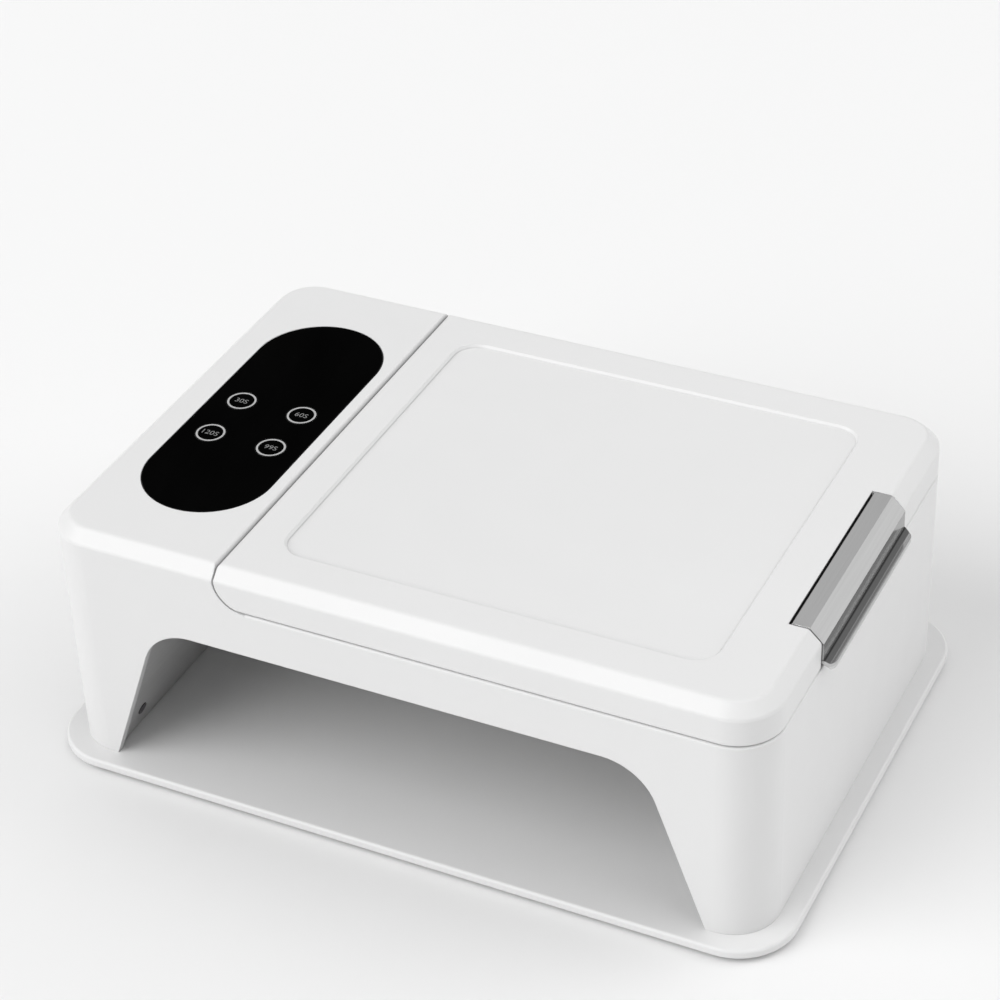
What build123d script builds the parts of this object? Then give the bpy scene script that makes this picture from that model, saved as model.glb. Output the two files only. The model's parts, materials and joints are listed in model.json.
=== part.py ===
from build123d import *
from math import hypot
import os

os.makedirs("parts", exist_ok=True)

# Desktop nail-curing lamp: a bridge-shaped housing that stands on a removable
# base plate.  A flat control strip runs front to back on the left, and a
# hinged lid with a chrome rocker latch covers a shallow storage tray on the
# right.  Millimetres.  X runs across the front, +Y goes to the back, +Z is up.
# The origin is the middle of the footprint, on the table.

# ------------------------------------------------------------ main dimensions
PLATE_W, PLATE_D, PLATE_T, PLATE_R = 236.0, 164.0, 3.6, 18.0
FOOT_R, FOOT_T, FOOT_PROUD = 6.0, 1.6, 1.0

CASE_W, CASE_D, CASE_H, CASE_R = 224.0, 152.0, 80.0, 14.0
TOP_CHAMFER = 3.8
WALL = 2.5
DECK_T = 2.4
SEAM_H = 67.6           # underside of the lid above the foot of the housing
STRIP_X = -54.6         # right edge of the control strip
SEAT_GAP = 0.6          # gap between the lid's rounded edge and its seat
EDGE_R = 1.2            # rounding of the two edges that face each other at that gap
PIN_DROP = 3.4          # hinge axis below the top

ARCH_HALF_LOW, ARCH_HALF_TOP, ARCH_H, ARCH_R = 95.2, 76.4, 52.2, 17.0
LINER_SET, LINER_T = 1.2, 1.0
LINER_BACK = 51.2

TRAY_X0, TRAY_X1, TRAY_HALF_D, TRAY_R = -34.0, 98.0, 61.0, 7.0

PANEL_X, PANEL_Y, PANEL_L, PANEL_W, PANEL_T = -79.2, -0.9, 106.5, 41.0, 1.2
KEY_R, KEY_TRAVEL = 4.7, 0.5
KEYS = {"key_30s": (-89.8, 3.1), "key_60s": (-69.0, 3.1),
        "key_120s": (-89.8, -15.7), "key_99s": (-69.0, -15.7)}

LID_WALL = 2.4
RECESS = (-42.6, 90.2, -60.4, 60.4)      # x0, x1, y0, y1 of the lid's shallow panel
RECESS_DEPTH, RECESS_R = 1.0, 8.0

LATCH_Y0, LATCH_Y1 = -35.4, 31.6
LATCH_T = 1.3
LATCH_PIN = (105.4, 81.4)
LATCH_PIN_R = 1.0

HINGE_PIN_R = 1.0
ARM_Y = (-50.0, 50.0)
ARM_W = 8.0
RUN_GAP = 0.05          # radial clearance of a pin in its hole

# ------------------------------------------------------------ derived levels
Z_PLATE = FOOT_PROUD + PLATE_T
Z_TOP = Z_PLATE + CASE_H
Z_SEAM = Z_PLATE + SEAM_H
PIN_Z = Z_TOP - PIN_DROP
LID_R = PIN_Z - Z_SEAM
SEAT_R = LID_R + SEAT_GAP
PIN_X = STRIP_X + SEAT_R
LID_X = PIN_X - LID_R
Z_DECK = PIN_Z - SEAT_R
Z_ROOF = Z_PLATE + ARCH_H
LED_BOARD_Z = Z_ROOF + LINER_SET + LINER_T + 0.4
TRAY_UNDER = Z_PLATE + 57.0
TRAY_T = 1.5

TAB_T, TAB_L, TAB_H, TAB_R = 3.8, 9.0, 4.6, 1.1
# side, distance of the flat outer face from the middle, middle of the tab's length
TABS = [(-1, 107.2, -39.5), (-1, 107.2, 52.5), (-1, 44.9, 68.5),
        (1, 107.2, -39.5), (1, 107.2, 52.5), (1, 44.9, 68.5)]
MAGNET_L, MAGNET_H, MAGNET_T = 6.6, 3.0, 1.4   # slot-shaped magnets
MAGNET_Z = Z_PLATE + 2.3

SIDE_SCREWS = [(-106.2, -62.0), (106.2, -62.0), (-106.2, 12.0), (106.2, 12.0),
               (-105.6, 64.5), (105.6, 64.5)]
BACK_SCREWS = [(-25.0, 70.2), (25.0, 70.2)]
FRAME_T = 3.0

ROOF_LEDS = [(x, y) for x in (-50, -30, -10, 10, 30, 50) for y in (-52, -24, 4, 32)]
SIDE_LED_Y = (-30.0, -4.5, 21.0)
SLOPE = hypot(ARCH_HALF_LOW - ARCH_HALF_TOP, ARCH_H)
SX = (ARCH_HALF_TOP - ARCH_HALF_LOW) / SLOPE     # unit vector up the right leg's inner wall
SZ = ARCH_H / SLOPE
SIDE_LED_S = 24.0
SENSOR_Y, SENSOR_S = -63.5, 8.2


def at_y(y):
    """Plane across the object at this depth: local x is X, local y is Z, normal is -Y."""
    return Plane(origin=(0, y, 0), x_dir=(1, 0, 0), z_dir=(0, -1, 0))


def leg_plane(side, y, s, out):
    """Plane on the sloping inner wall of a leg, s up the slope, out behind its surface."""
    return Plane(
        origin=(side * (ARCH_HALF_LOW + SX * s + SZ * out), y, Z_PLATE + SZ * s - SX * out),
        x_dir=(0, side, 0),
        z_dir=(side * SZ, 0, -SX),
    )


def arch_profile(grow):
    """Closed outline of the hand opening, grown outwards, running on below the housing."""
    run = (ARCH_HALF_LOW - ARCH_HALF_TOP) / ARCH_H
    low = 12.0
    with BuildSketch(mode=Mode.PRIVATE) as outline:
        with BuildLine():
            Polyline(
                (-ARCH_HALF_LOW - run * low, Z_PLATE - low),
                (-ARCH_HALF_TOP, Z_ROOF),
                (ARCH_HALF_TOP, Z_ROOF),
                (ARCH_HALF_LOW + run * low, Z_PLATE - low),
                close=True,
            )
        make_face()
        fillet(outline.vertices().group_by(Axis.Y)[-1], radius=ARCH_R)
        if grow > 0:
            offset(amount=grow, kind=Kind.INTERSECTION)
    return outline.sketch


# =============================================================== base plate
with BuildPart() as base_plate:
    with BuildSketch(Plane.XY.offset(FOOT_PROUD)):
        RectangleRounded(PLATE_W, PLATE_D, PLATE_R)
    extrude(amount=PLATE_T)
    chamfer(base_plate.faces().sort_by(Axis.Z)[0].edges(), length=1.1)
    fillet(base_plate.faces().sort_by(Axis.Z)[-1].edges(), radius=0.9)
    # pockets for the four pads
    with BuildSketch(Plane.XY.offset(FOOT_PROUD)):
        with GridLocations(200, 128, 2, 2):
            Circle(FOOT_R + 0.05)
    extrude(amount=FOOT_T - FOOT_PROUD, mode=Mode.SUBTRACT)
    # low rib in front of the back wall of the tunnel
    with BuildSketch(Plane.XY.offset(Z_PLATE - 0.2)):
        with Locations((1, 49.2)):
            SlotOverall(174, 2.2)
    extrude(amount=1.8)
    # low upright tabs, two on each side and two at the back, all running front to back
    for side, out, y in TABS:
        with BuildSketch(Plane.XY.offset(Z_PLATE - 0.2)):
            with Locations((side * (out - TAB_T / 2), y)):
                RectangleRounded(TAB_T, TAB_L, TAB_R)
        extrude(amount=TAB_H + 0.2)
    fillet(base_plate.faces().filter_by(lambda f: abs(f.center().Z - (Z_PLATE + TAB_H)) < 0.01).edges(), radius=0.6)
    # magnet pockets in the outer faces of the tabs
    for side, out, y in TABS:
        with BuildSketch(Plane.YZ.offset(side * out)):
            with Locations((y, MAGNET_Z)):
                SlotOverall(MAGNET_L + 0.1, MAGNET_H + 0.1)
        extrude(amount=-side * (MAGNET_T + 0.1), mode=Mode.SUBTRACT)
base_plate.part.label = "base_plate"
export_step(base_plate.part, "parts/base_plate.step")

with BuildPart() as plate_magnets:
    for side, out, y in TABS:
        with BuildSketch(Plane.YZ.offset(side * (out - 0.1))):
            with Locations((y, MAGNET_Z)):
                SlotOverall(MAGNET_L, MAGNET_H)
        extrude(amount=-side * MAGNET_T)
plate_magnets.part.label = "plate_magnets"
export_step(plate_magnets.part, "parts/plate_magnets.step")

with BuildPart() as foot_pads:
    with BuildSketch():
        with GridLocations(200, 128, 2, 2):
            Circle(FOOT_R)
    extrude(amount=FOOT_T)
    chamfer(foot_pads.edges().group_by(Axis.Z)[0], length=0.3)
foot_pads.part.label = "foot_pads"
export_step(foot_pads.part, "parts/foot_pads.step")

# ======================================== common outer form of housing and lid
with BuildPart() as case_form:
    with BuildSketch(Plane.XY.offset(Z_PLATE)):
        RectangleRounded(CASE_W, CASE_D, CASE_R)
    extrude(amount=CASE_H)
    chamfer(case_form.faces().sort_by(Axis.Z)[-1].edges(), length=TOP_CHAMFER)
    fillet(case_form.edges().group_by(Axis.Z)[-1], radius=1.6)
    fillet(case_form.edges().filter_by(
        lambda e: abs(e.center().Z - (Z_TOP - TOP_CHAMFER)) < 0.01), radius=1.6)

# solid lid: everything right of the rounded hinge edge and above the seam
with BuildPart() as lid_form:
    add(case_form.part)
    with BuildSketch(Plane.XY.offset(Z_SEAM)):
        Rectangle(300, 300)
    extrude(amount=-100, mode=Mode.SUBTRACT)
    fillet(lid_form.faces().sort_by(Axis.Z)[0].edges(), radius=0.5)
    with BuildSketch(at_y(100)):
        with BuildLine():
            Polyline((PIN_X, Z_SEAM), (130, Z_SEAM), (130, Z_TOP + 3), (LID_X + EDGE_R, Z_TOP + 3),
                     (LID_X + EDGE_R, Z_TOP))
            CenterArc((LID_X + EDGE_R, Z_TOP - EDGE_R), EDGE_R, 90, 90)
            Line((LID_X, Z_TOP - EDGE_R), (LID_X, PIN_Z))
            CenterArc((PIN_X, PIN_Z), LID_R, 180, 90)
        make_face()
    extrude(amount=200, mode=Mode.INTERSECT)

# strip at full height, with the hollow seat for the lid's rounded edge
with BuildPart() as strip_form:
    add(case_form.part)
    with BuildSketch(at_y(100)):
        with BuildLine():
            Polyline((PIN_X, Z_DECK), (PIN_X, Z_DECK - 5), (-130, Z_DECK - 5), (-130, Z_TOP + 3),
                     (STRIP_X - EDGE_R, Z_TOP + 3), (STRIP_X - EDGE_R, Z_TOP))
            CenterArc((STRIP_X - EDGE_R, Z_TOP - EDGE_R), EDGE_R, 0, 90)
            Line((STRIP_X, Z_TOP - EDGE_R), (STRIP_X, PIN_Z))
            CenterArc((PIN_X, PIN_Z), SEAT_R, 180, 90)
        make_face()
    extrude(amount=200, mode=Mode.INTERSECT)

# solid housing: the body below the lid, joined to the strip
with BuildPart() as shell_form:
    add(case_form.part)
    with BuildSketch(Plane.XY.offset(Z_DECK)):
        Rectangle(300, 300)
    extrude(amount=100, mode=Mode.SUBTRACT)
    fillet(shell_form.faces().sort_by(Axis.Z)[-1].edges(), radius=0.7)
    add(strip_form.part)

# =============================================================== outer shell
with BuildPart() as shell_hollow:
    with BuildSketch(Plane.XY.offset(Z_PLATE - 5)):
        RectangleRounded(CASE_W - 2 * WALL, CASE_D - 2 * WALL, CASE_R - WALL)
    extrude(amount=CASE_H + 5 - WALL)
    chamfer(shell_hollow.faces().sort_by(Axis.Z)[-1].edges(), length=3.0)
    with BuildSketch(at_y(100)):
        with BuildLine():
            Polyline((PIN_X, Z_DECK - DECK_T), (130, Z_DECK - DECK_T), (130, Z_TOP + 3),
                     (STRIP_X - DECK_T, Z_TOP + 3), (STRIP_X - DECK_T, PIN_Z))
            CenterArc((PIN_X, PIN_Z), SEAT_R + DECK_T, 180, 90)
        make_face()
    extrude(amount=200, mode=Mode.SUBTRACT)

JACK_X, JACK_Z = -62.0, Z_PLATE + 18.4
BOARD_BOSSES = [(-96.8, 45.5), (-62.6, 45.5), (-96.8, -45.5), (-62.6, -45.5)]

with BuildPart() as outer_shell:
    add(shell_form.part)
    add(shell_hollow.part, mode=Mode.SUBTRACT)
    # hand opening in the front wall
    with BuildSketch(at_y(-CASE_D / 2 + WALL + 0.5)):
        add(arch_profile(0))
    extrude(amount=10, mode=Mode.SUBTRACT)
    # storage opening with a rebate for the tray's rim
    with BuildSketch(Plane.XY.offset(Z_DECK)):
        with Locations(((TRAY_X0 + TRAY_X1) / 2, 0)):
            RectangleRounded(TRAY_X1 - TRAY_X0, 2 * TRAY_HALF_D, TRAY_R)
    extrude(amount=-DECK_T - 1, mode=Mode.SUBTRACT)
    with BuildSketch(Plane.XY.offset(Z_DECK)):
        with Locations(((TRAY_X0 + TRAY_X1) / 2, 0)):
            RectangleRounded(TRAY_X1 - TRAY_X0 + 6, 2 * TRAY_HALF_D + 6, TRAY_R + 3)
    extrude(amount=-1.2, mode=Mode.SUBTRACT)
    # recess for the control panel, with holes for the keys and the display
    with BuildSketch(Plane.XY.offset(Z_TOP)):
        with Locations((PANEL_X, PANEL_Y)):
            SlotOverall(PANEL_L + 0.2, PANEL_W + 0.2, rotation=90)
    extrude(amount=-PANEL_T, mode=Mode.SUBTRACT)
    with BuildSketch(Plane.XY.offset(Z_TOP - PANEL_T)):
        with Locations(*KEYS.values()):
            Circle(6.1)
        with Locations((PANEL_X, 29.0)):
            RectangleRounded(34, 17, 1)
    extrude(amount=-4, mode=Mode.SUBTRACT)
    # notch in the right wall for the latch hook and its catch
    with BuildSketch(Plane.XY.offset(Z_DECK - 2.7)):
        with Locations((110.5, -2.0)):
            Rectangle(5.0, 18.0)
    extrude(amount=6, mode=Mode.SUBTRACT)
    # pockets for the lid's rest pads
    with BuildSketch(Plane.XY.offset(Z_DECK)):
        with Locations((105.2, 61), (105.2, -61), (32, 69.4), (32, -69.4)):
            Circle(2.55)
    extrude(amount=-0.9, mode=Mode.SUBTRACT)
    # power inlet hole in the back wall
    with BuildSketch(at_y(CASE_D / 2 + 1)):
        with Locations((JACK_X, JACK_Z)):
            Circle(4.3)
    extrude(amount=WALL + 2, mode=Mode.SUBTRACT)
    # screw bosses in the legs and along the back wall
    with BuildSketch(Plane.XY.offset(Z_PLATE + FRAME_T + 0.05)):
        with Locations(*SIDE_SCREWS):
            Circle(3.5)
    extrude(amount=15)
    with BuildSketch(Plane.XY.offset(Z_PLATE + FRAME_T + 0.05)):
        with Locations(*BACK_SCREWS):
            Circle(3.5)
    extrude(amount=8.2)
    with BuildSketch(Plane.XY.offset(Z_PLATE + FRAME_T + 0.05)):
        with Locations(*SIDE_SCREWS, *BACK_SCREWS):
            Circle(1.2)
    extrude(amount=7.5, mode=Mode.SUBTRACT)
    # bosses that carry the control board under the strip
    with BuildSketch(Plane.XY.offset(Z_TOP - 8.0)):
        with Locations(*BOARD_BOSSES):
            Circle(2.6)
    extrude(amount=8.0 - WALL + 0.3)
    with BuildSketch(Plane.XY.offset(Z_TOP - 8.0)):
        with Locations(*BOARD_BOSSES):
            Circle(0.95)
    extrude(amount=5.0, mode=Mode.SUBTRACT)
    # screw holes for the two hinge arms
    with BuildSketch(Plane.XY.offset(Z_DECK - DECK_T - 0.5)):
        with Locations((-39.4, -50), (-39.4, 50)):
            Circle(0.85)
    extrude(amount=DECK_T + 1, mode=Mode.SUBTRACT)
outer_shell.part.label = "outer_shell"
export_step(outer_shell.part, "parts/outer_shell.step")

# ============================================================== bottom frame
with BuildPart() as bottom_frame:
    with BuildSketch(Plane.XY.offset(Z_PLATE + 0.3)):
        RectangleRounded(CASE_W - 2 * WALL - 0.4, CASE_D - 2 * WALL - 0.4, CASE_R - WALL - 0.2)
        with Locations((0, -25)):
            Rectangle(2 * 98.2, 2 * 77.6, mode=Mode.SUBTRACT)
    extrude(amount=FRAME_T - 0.3)
    # slots for the plate's tabs; the two at the back are open at the frame's edge
    with BuildSketch(Plane.XY.offset(Z_PLATE)):
        with Locations(*[(side * (out - TAB_T / 2), y) for side, out, y in TABS]):
            Rectangle(TAB_T + 0.8, TAB_L + 0.8)
    extrude(amount=FRAME_T + 1, mode=Mode.SUBTRACT)
    # magnet posts beside the slots
    for side, out, y in TABS:
        with BuildSketch(Plane.XY.offset(Z_PLATE + 0.3)):
            with Locations((side * (out + 1.25), y)):
                Rectangle(1.7, TAB_L - 0.8)
        extrude(amount=5.6)
    for side, out, y in TABS:
        with BuildSketch(Plane.YZ.offset(side * (out + 0.4))):
            with Locations((y, MAGNET_Z)):
                SlotOverall(MAGNET_L + 0.1, MAGNET_H + 0.1)
        extrude(amount=side * 1.4, mode=Mode.SUBTRACT)
    # counterbored screw holes, entered from below
    with BuildSketch(Plane.XY.offset(Z_PLATE)):
        with Locations(*SIDE_SCREWS, *BACK_SCREWS):
            Circle(1.5)
    extrude(amount=FRAME_T + 1, mode=Mode.SUBTRACT)
    with BuildSketch(Plane.XY.offset(Z_PLATE)):
        with Locations(*SIDE_SCREWS, *BACK_SCREWS):
            Circle(2.7)
    extrude(amount=1.9, mode=Mode.SUBTRACT)
    # posts with locating pins for the driver board
    with BuildSketch(Plane.XY.offset(Z_PLATE + FRAME_T - 0.2)):
        with Locations((-71, 57.5), (-71, 69.0), (11, 57.5), (11, 69.0)):
            Circle(2.4)
    extrude(amount=9.2)
    with BuildSketch(Plane.XY.offset(Z_PLATE + 11.5)):
        with Locations((-71, 57.5), (-71, 69.0), (11, 57.5), (11, 69.0)):
            Circle(1.0)
    extrude(amount=2.9)
bottom_frame.part.label = "bottom_frame"
export_step(bottom_frame.part, "parts/bottom_frame.step")

with BuildPart() as housing_magnets:
    for side, out, y in TABS:
        with BuildSketch(Plane.YZ.offset(side * (out + 0.4))):
            with Locations((y, MAGNET_Z)):
                SlotOverall(MAGNET_L, MAGNET_H)
        extrude(amount=side * 1.35)
housing_magnets.part.label = "housing_magnets"
export_step(housing_magnets.part, "parts/housing_magnets.step")

with BuildPart() as frame_screws:
    with BuildSketch(Plane.XY.offset(Z_PLATE + 0.35)):
        with Locations(*SIDE_SCREWS, *BACK_SCREWS):
            Circle(2.55)
    extrude(amount=1.5)
    with BuildSketch(Plane.XY.offset(Z_PLATE + 1.8)):
        with Locations(*SIDE_SCREWS, *BACK_SCREWS):
            Circle(1.15)
    extrude(amount=7.8)
    with BuildSketch(Plane.XY.offset(Z_PLATE + 0.35)):
        with Locations(*SIDE_SCREWS, *BACK_SCREWS):
            Rectangle(2.8, 0.7)
            Rectangle(0.7, 2.8)
    extrude(amount=0.9, mode=Mode.SUBTRACT)
frame_screws.part.label = "frame_screws"
export_step(frame_screws.part, "parts/frame_screws.step")

# =========================================================== reflector liner
with BuildPart() as liner_outer:
    with BuildSketch(at_y(LINER_BACK + LINER_T)):
        add(arch_profile(LINER_SET + LINER_T))
    extrude(amount=LINER_BACK + LINER_T + CASE_D / 2 - WALL - 0.1)
    fillet(liner_outer.faces().sort_by(Axis.Y)[-1].edges().filter_by(
        lambda e: e.center().Z > Z_PLATE), radius=6.0)
with BuildPart() as liner_inner:
    with BuildSketch(at_y(LINER_BACK)):
        add(arch_profile(LINER_SET))
    extrude(amount=LINER_BACK + CASE_D / 2)
    fillet(liner_inner.faces().sort_by(Axis.Y)[-1].edges().filter_by(
        lambda e: e.center().Z > Z_PLATE), radius=5.0)

with BuildPart() as reflector_liner:
    add(liner_outer.part)
    add(liner_inner.part, mode=Mode.SUBTRACT)
    with BuildSketch(Plane.XY.offset(Z_PLATE + 0.3)):
        Rectangle(300, 300)
    extrude(amount=-60, mode=Mode.SUBTRACT)
    # outward feet that rest on the bottom frame
    for side in (-1, 1):
        with BuildSketch(Plane.XY.offset(Z_PLATE + FRAME_T + 0.02)):
            with Locations((side * 98.7, -8)):
                Rectangle(4.6, 96)
        extrude(amount=1.0)
    add(liner_inner.part, mode=Mode.SUBTRACT)
    # holes for the light-emitting diodes and the hand sensor
    with BuildSketch(Plane.XY.offset(Z_ROOF)):
        with Locations(*ROOF_LEDS):
            Circle(1.9)
    extrude(amount=6, mode=Mode.SUBTRACT)
    for side in (-1, 1):
        for y in SIDE_LED_Y:
            with BuildSketch(leg_plane(side, y, SIDE_LED_S, 0)):
                Circle(1.9)
            extrude(amount=4, mode=Mode.SUBTRACT)
        with BuildSketch(leg_plane(side, SENSOR_Y, SENSOR_S, 0)):
            Circle(2.1)
        extrude(amount=4, mode=Mode.SUBTRACT)
reflector_liner.part.label = "reflector_liner"
export_step(reflector_liner.part, "parts/reflector_liner.step")

# ================================================================ LED boards
with BuildPart() as led_board:
    with BuildSketch(Plane.XY.offset(LED_BOARD_Z)):
        with Locations((0, 1)):
            RectangleRounded(118, 124, 4)
        with Locations(*[(x, y) for x in (-40, 40) for y in (-40, 45)]):
            Circle(1.5, mode=Mode.SUBTRACT)
    extrude(amount=1.2)
led_board.part.label = "led_board"
export_step(led_board.part, "parts/led_board.step")

with BuildPart() as side_led_boards:
    for side in (-1, 1):
        with BuildSketch(leg_plane(side, SIDE_LED_Y[1], SIDE_LED_S, LINER_SET + LINER_T + 0.4)):
            RectangleRounded(70, 18, 2)
        extrude(amount=1.2)
side_led_boards.part.label = "side_led_boards"
export_step(side_led_boards.part, "parts/side_led_boards.step")

with BuildPart() as led_beads:
    with BuildSketch(Plane.XY.offset(LED_BOARD_Z)):
        with Locations(*ROOF_LEDS):
            Circle(1.7)
    extrude(amount=-1.6)
    for side in (-1, 1):
        for y in SIDE_LED_Y:
            with BuildSketch(leg_plane(side, y, SIDE_LED_S, LINER_SET + LINER_T + 0.4)):
                Circle(1.7)
            extrude(amount=-1.6)
    tips = led_beads.faces().filter_by(GeomType.PLANE).filter_by(
        lambda f: f.center().Z < LED_BOARD_Z - 1.0 and (
            abs(f.center().X) < 60 or
            abs(f.center().X) < ARCH_HALF_LOW + SX * SIDE_LED_S + SZ * 2.0))
    fillet(tips.edges(), radius=0.8)
led_beads.part.label = "led_beads"
export_step(led_beads.part, "parts/led_beads.step")

# ============================================================== hand sensor
for side, sensor_name in ((-1, "sensor_emitter"), (1, "sensor_receiver")):
    with BuildPart() as hand_sensor:
        with BuildSketch(leg_plane(side, SENSOR_Y, SENSOR_S, LINER_SET - 0.2)):
            Circle(2.0)
        extrude(amount=LINER_T + 0.4)
        with BuildSketch(leg_plane(side, SENSOR_Y, SENSOR_S, LINER_SET + LINER_T + 0.1)):
            Circle(2.7)
        extrude(amount=3.6)
        with BuildSketch(leg_plane(side, SENSOR_Y, SENSOR_S, LINER_SET + LINER_T + 3.6)):
            with Locations((-1.27, 0), (1.27, 0)):
                Circle(0.3)
        extrude(amount=3.4)
    hand_sensor.part.label = sensor_name
    export_step(hand_sensor.part, "parts/" + sensor_name + ".step")

# ============================================================== storage tray
with BuildPart() as storage_tray:
    with BuildSketch(Plane.XY.offset(TRAY_UNDER)):
        with Locations(((TRAY_X0 + TRAY_X1) / 2, 0)):
            RectangleRounded(TRAY_X1 - TRAY_X0 - 0.6, 2 * TRAY_HALF_D - 0.6, TRAY_R - 0.3)
    extrude(amount=Z_DECK - 0.6 - TRAY_UNDER)
    fillet(storage_tray.faces().sort_by(Axis.Z)[0].edges(), radius=2.0)
    with BuildSketch(Plane.XY.offset(Z_DECK - 1.18)):
        with Locations(((TRAY_X0 + TRAY_X1) / 2, 0)):
            RectangleRounded(TRAY_X1 - TRAY_X0 + 5.6, 2 * TRAY_HALF_D + 5.6, TRAY_R + 2.8)
    extrude(amount=1.13)
    with BuildSketch(Plane.XY.offset(TRAY_UNDER + TRAY_T)):
        with Locations(((TRAY_X0 + TRAY_X1) / 2, 0)):
            RectangleRounded(TRAY_X1 - TRAY_X0 - 0.6 - 2 * TRAY_T, 2 * TRAY_HALF_D - 0.6 - 2 * TRAY_T, TRAY_R - 1.8)
    extrude(amount=20, mode=Mode.SUBTRACT)
    fillet(storage_tray.faces().filter_by(
        lambda f: abs(f.center().Z - (TRAY_UNDER + TRAY_T)) < 0.01).edges(), radius=1.5)
    # low rib that divides the tray
    with BuildSketch(Plane.XY.offset(TRAY_UNDER + TRAY_T - 0.2)):
        with Locations((60, 0)):
            Rectangle(1.6, 2 * TRAY_HALF_D - 3)
    extrude(amount=6.2)
    # studs that hold the board below down on its liner
    with BuildSketch(Plane.XY.offset(LED_BOARD_Z + 1.22)):
        with Locations((-20, -40), (-20, 45), (40, -40), (40, 45)):
            Circle(3)
    extrude(amount=TRAY_UNDER + 0.4 - LED_BOARD_Z - 1.22)
storage_tray.part.label = "storage_tray"
export_step(storage_tray.part, "parts/storage_tray.step")

# ================================================= control panel, keys, board
with BuildPart() as control_panel:
    with BuildSketch(Plane.XY.offset(Z_TOP - PANEL_T)):
        with Locations((PANEL_X, PANEL_Y)):
            SlotOverall(PANEL_L, PANEL_W, rotation=90)
        with Locations(*KEYS.values()):
            Circle(KEY_R + 0.12, mode=Mode.SUBTRACT)
    extrude(amount=PANEL_T)
    fillet(control_panel.faces().sort_by(Axis.Z)[-1].outer_wire().edges(), radius=0.25)
control_panel.part.label = "control_panel"
export_step(control_panel.part, "parts/control_panel.step")

for key_name, (kx, ky) in KEYS.items():
    with BuildPart() as key:
        with BuildSketch(Plane.XY.offset(Z_TOP - 2.0)):
            with Locations((kx, ky)):
                Circle(KEY_R)
        extrude(amount=2.0)
        with BuildSketch(Plane.XY.offset(Z_TOP - 2.2)):
            with Locations((kx, ky)):
                Circle(5.6)
        extrude(amount=0.9)
        with BuildSketch(Plane.XY.offset(Z_TOP - 5.6)):
            with Locations((kx, ky)):
                Circle(1.6)
        extrude(amount=3.6)
        fillet(key.faces().sort_by(Axis.Z)[-1].edges(), radius=0.15)
    key.part.label = key_name
    export_step(key.part, "parts/" + key_name + ".step")

with BuildPart() as control_board:
    with BuildSketch(Plane.XY.offset(Z_TOP - 9.6)):
        with Locations((-79.7, -0.5)):
            RectangleRounded(41.4, 101, 2)
        with Locations(*BOARD_BOSSES):
            Circle(1.15, mode=Mode.SUBTRACT)
    extrude(amount=1.6)
control_board.part.label = "control_board"
export_step(control_board.part, "parts/control_board.step")

with BuildPart() as board_screws:
    with BuildSketch(Plane.XY.offset(Z_TOP - 11.0)):
        with Locations(*BOARD_BOSSES):
            Circle(2.0)
    extrude(amount=1.38)
    with BuildSketch(Plane.XY.offset(Z_TOP - 9.8)):
        with Locations(*BOARD_BOSSES):
            Circle(0.9)
    extrude(amount=6.0)
    with BuildSketch(Plane.XY.offset(Z_TOP - 11.0)):
        with Locations(*BOARD_BOSSES):
            Rectangle(2.2, 0.5)
            Rectangle(0.5, 2.2)
    extrude(amount=0.7, mode=Mode.SUBTRACT)
board_screws.part.label = "board_screws"
export_step(board_screws.part, "parts/board_screws.step")

with BuildPart() as tact_switches:
    with BuildSketch(Plane.XY.offset(Z_TOP - 8.0)):
        with Locations(*KEYS.values()):
            RectangleRounded(6.2, 6.2, 0.4)
    extrude(amount=3.1)
    with BuildSketch(Plane.XY.offset(Z_TOP - 4.9)):
        with Locations(*KEYS.values()):
            Circle(1.8)
    extrude(amount=-2.4, mode=Mode.SUBTRACT)
tact_switches.part.label = "tact_switches"
export_step(tact_switches.part, "parts/tact_switches.step")

with BuildPart() as display_module:
    with BuildSketch(Plane.XY.offset(Z_TOP - 8.0)):
        with Locations((PANEL_X, 29.0)):
            Rectangle(32, 15)
    extrude(amount=6.0)
    chamfer(display_module.faces().sort_by(Axis.Z)[-1].edges(), length=0.4)
display_module.part.label = "display_module"
export_step(display_module.part, "parts/display_module.step")

# ====================================================== driver board and inlet
with BuildPart() as driver_board:
    with BuildSketch(Plane.XY.offset(Z_PLATE + 12.05)):
        with Locations((-30, 63.0)):
            RectangleRounded(92, 18.4, 1.5)
        with Locations((-71, 57.5), (-71, 69.0), (11, 57.5), (11, 69.0)):
            Circle(1.15, mode=Mode.SUBTRACT)
    extrude(amount=1.55)
driver_board.part.label = "driver_board"
export_step(driver_board.part, "parts/driver_board.step")

with BuildPart() as driver_components:
    with BuildSketch(Plane.XY.offset(Z_PLATE + 13.62)):
        with Locations((-45, 67), (-36, 67)):
            Circle(4.0)
    extrude(amount=11)
    fillet(driver_components.faces().sort_by(Axis.Z)[-1].edges(), radius=0.6)
    with BuildSketch(Plane.XY.offset(Z_PLATE + 13.62)):
        with Locations((-22, 64)):
            RectangleRounded(12, 12, 2)
    extrude(amount=6.5)
    with BuildSketch(Plane.XY.offset(Z_PLATE + 13.62)):
        with Locations((-4, 66)):
            Rectangle(10, 4.6)
    extrude(amount=13)
    with BuildSketch(Plane.XY.offset(Z_PLATE + 13.62)):
        with Locations((-38, 58.5)):
            Rectangle(8, 5)
    extrude(amount=1.6)
driver_components.part.label = "driver_components"
export_step(driver_components.part, "parts/driver_components.step")

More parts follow.
